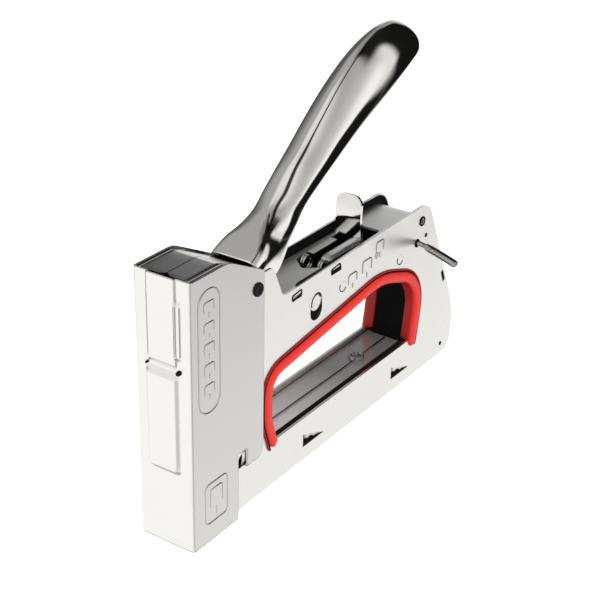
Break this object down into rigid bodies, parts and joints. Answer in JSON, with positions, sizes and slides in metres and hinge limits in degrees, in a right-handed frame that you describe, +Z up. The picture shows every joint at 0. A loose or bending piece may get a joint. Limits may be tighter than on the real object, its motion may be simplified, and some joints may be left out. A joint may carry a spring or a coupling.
{
  "type": "staple gun",
  "caption": "Hand staple gun with a sheet-steel body, red finger opening, chromed spring-up handle, locking latch and a staple magazine that slides out of the rear.",
  "frame": {"origin": "centre of the flat foot under the nose, on the plane that the work lies on", "axes": "+X from the nose to the rear of the tool, +Z up from the work, +Y to the tool's right-hand side as held"},
  "size_m": [0.1931, 0.0438, 0.1637],
  "materials": {
    "nickel_steel": "bright nickel plated sheet, satin to semi-bright",
    "strap_steel": "darker satin nickel sheet",
    "polished_steel": "mirror polished steel",
    "hard_steel": "ground hardened steel",
    "black_steel": "black oxide",
    "spring_steel": "bright spring wire",
    "chrome": "mirror chrome plating",
    "red_trim": "satin soft plastic",
    "black_plastic": "matte black plastic",
    "rubber": "matte rubber",
    "staple_wire": "galvanised wire"
  },
  "bodies": {
    "housing": {"side_plate_left": "nickel_steel", "side_plate_right": "nickel_steel", "nose_cover": "nickel_steel", "top_strap": "strap_steel", "nose_foot": "nickel_steel", "top_flap_left": "strap_steel", "top_flap_right": "strap_steel", "grip_liner": "black_plastic", "grip_trim_left": "red_trim", "grip_trim_right": "red_trim", "magazine_cover": "polished_steel", "driver_guide": "hard_steel", "pivot_bolt": "black_steel", "pivot_nut": "black_steel", "frame_studs": "nickel_steel", "hollow_rivet": "hard_steel", "small_rivets": "nickel_steel", "shock_plate": "hard_steel", "bumper": "rubber", "spring_cap": "hard_steel", "drive_spring": "spring_steel", "retainer_spring": "spring_steel", "latch_spring": "spring_steel", "latch_pin": "hard_steel"},
    "handle": {"handle_shell": "chrome", "handle_lever": "hard_steel"},
    "hammer": {"hammer": "hard_steel", "driver_blade": "hard_steel", "lift_rollers": "hard_steel"},
    "cross_pin": {"slot_pin": "polished_steel", "slot_pin_washers": "hard_steel"},
    "latch": {"lock_latch": "chrome"},
    "magazine": {"magazine_channel": "nickel_steel", "magazine_rail": "hard_steel", "magazine_end_cap": "black_steel", "guide_rod": "hard_steel", "staple_strip": "staple_wire", "pusher_spring": "spring_steel"},
    "pusher": {"pusher": "hard_steel"},
    "release_lever": {"magazine_release_lever": "chrome"}
  },
  "joints": [
    {"name": "handle_squeeze", "type": "hinge", "parent": "housing", "child": "handle", "pos_m": [0.02495, 0, 0.0918], "axis": [0, 1, 0], "range_deg": [0, 30], "stiffness_Nm_per_rad": 3, "springref_deg": -20.05},
    {"name": "hammer_lift", "type": "slide", "parent": "housing", "child": "hammer", "axis": [0, 0, 1], "range_m": [0, 0.0129], "deforming": ["drive_spring"]},
    {"name": "cross_pin_drop", "type": "slide", "parent": "housing", "child": "cross_pin", "axis": [0, 0, 1], "range_m": [-0.0036, 0]},
    {"name": "latch_tilt", "type": "hinge", "parent": "housing", "child": "latch", "pos_m": [0.10765, 0, 0.0746], "axis": [0, 1, 0], "range_deg": [-10, 18], "stiffness_Nm_per_rad": 0.05, "deforming": ["latch_spring"]},
    {"name": "magazine_slide", "type": "slide", "parent": "housing", "child": "magazine", "axis": [1, 0, 0], "range_m": [0, 0.11]},
    {"name": "pusher_slide", "type": "slide", "parent": "magazine", "child": "pusher", "axis": [1, 0, 0], "range_m": [0, 0.09], "stiffness_N_per_m": 30, "springref_m": -0.03, "deforming": ["pusher_spring"]},
    {"name": "release_lever_turn", "type": "hinge", "parent": "housing", "child": "release_lever", "pos_m": [0.14085, 0, 0.0682], "axis": [0, 1, 0], "range_deg": [0, 25], "stiffness_Nm_per_rad": 0.05, "springref_deg": -5.73}
  ],
  "couplings": [
    {"joint": "hammer_lift", "follows": "handle_squeeze", "m_per_rad": 0.02435},
    {"joint": "cross_pin_drop", "follows": "handle_squeeze", "m_per_rad": -0.0068}
  ]
}
